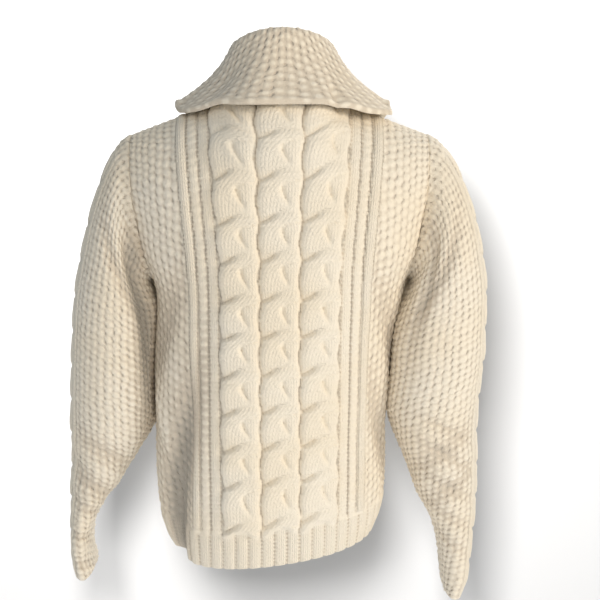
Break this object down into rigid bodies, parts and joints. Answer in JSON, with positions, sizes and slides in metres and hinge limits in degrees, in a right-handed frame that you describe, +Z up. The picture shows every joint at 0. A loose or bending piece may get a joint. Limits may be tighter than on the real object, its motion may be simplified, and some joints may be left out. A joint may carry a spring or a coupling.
{
  "type": "knitted cardigan",
  "caption": "Chunky hand-knitted cream cardigan in worn form, with a large fold-over collar, rope cables down the back, moss stitch sides and sleeves, and a buttoned front.",
  "frame": {"origin": "middle of the neck opening at the top of the shoulders, where the garment hangs from its wearer", "axes": "+Z up, the wearer faces -Y and the back of the garment is towards +Y, the wearer's left side is +X"},
  "size_m": [0.6277, 0.2953, 0.8671],
  "materials": {
    "wool_body": "matte hand-knitted cream wool",
    "wool_sleeves": "matte hand-knitted cream wool",
    "wool_collar": "matte hand-knitted cream wool, moss stitch",
    "wool_bands": "matte ribbed cream wool",
    "button_horn": "polished horn-coloured"
  },
  "bodies": {
    "root": {"back": "wool_body", "front_left": "wool_body", "front_right": "wool_body", "sleeve_left": "wool_sleeves", "sleeve_right": "wool_sleeves", "collar": "wool_collar", "band_under": "wool_bands", "band_over": "wool_bands", "button_1": "button_horn", "button_2": "button_horn", "button_3": "button_horn", "button_4": "button_horn", "button_5": "button_horn"}
  },
  "joints": []
}
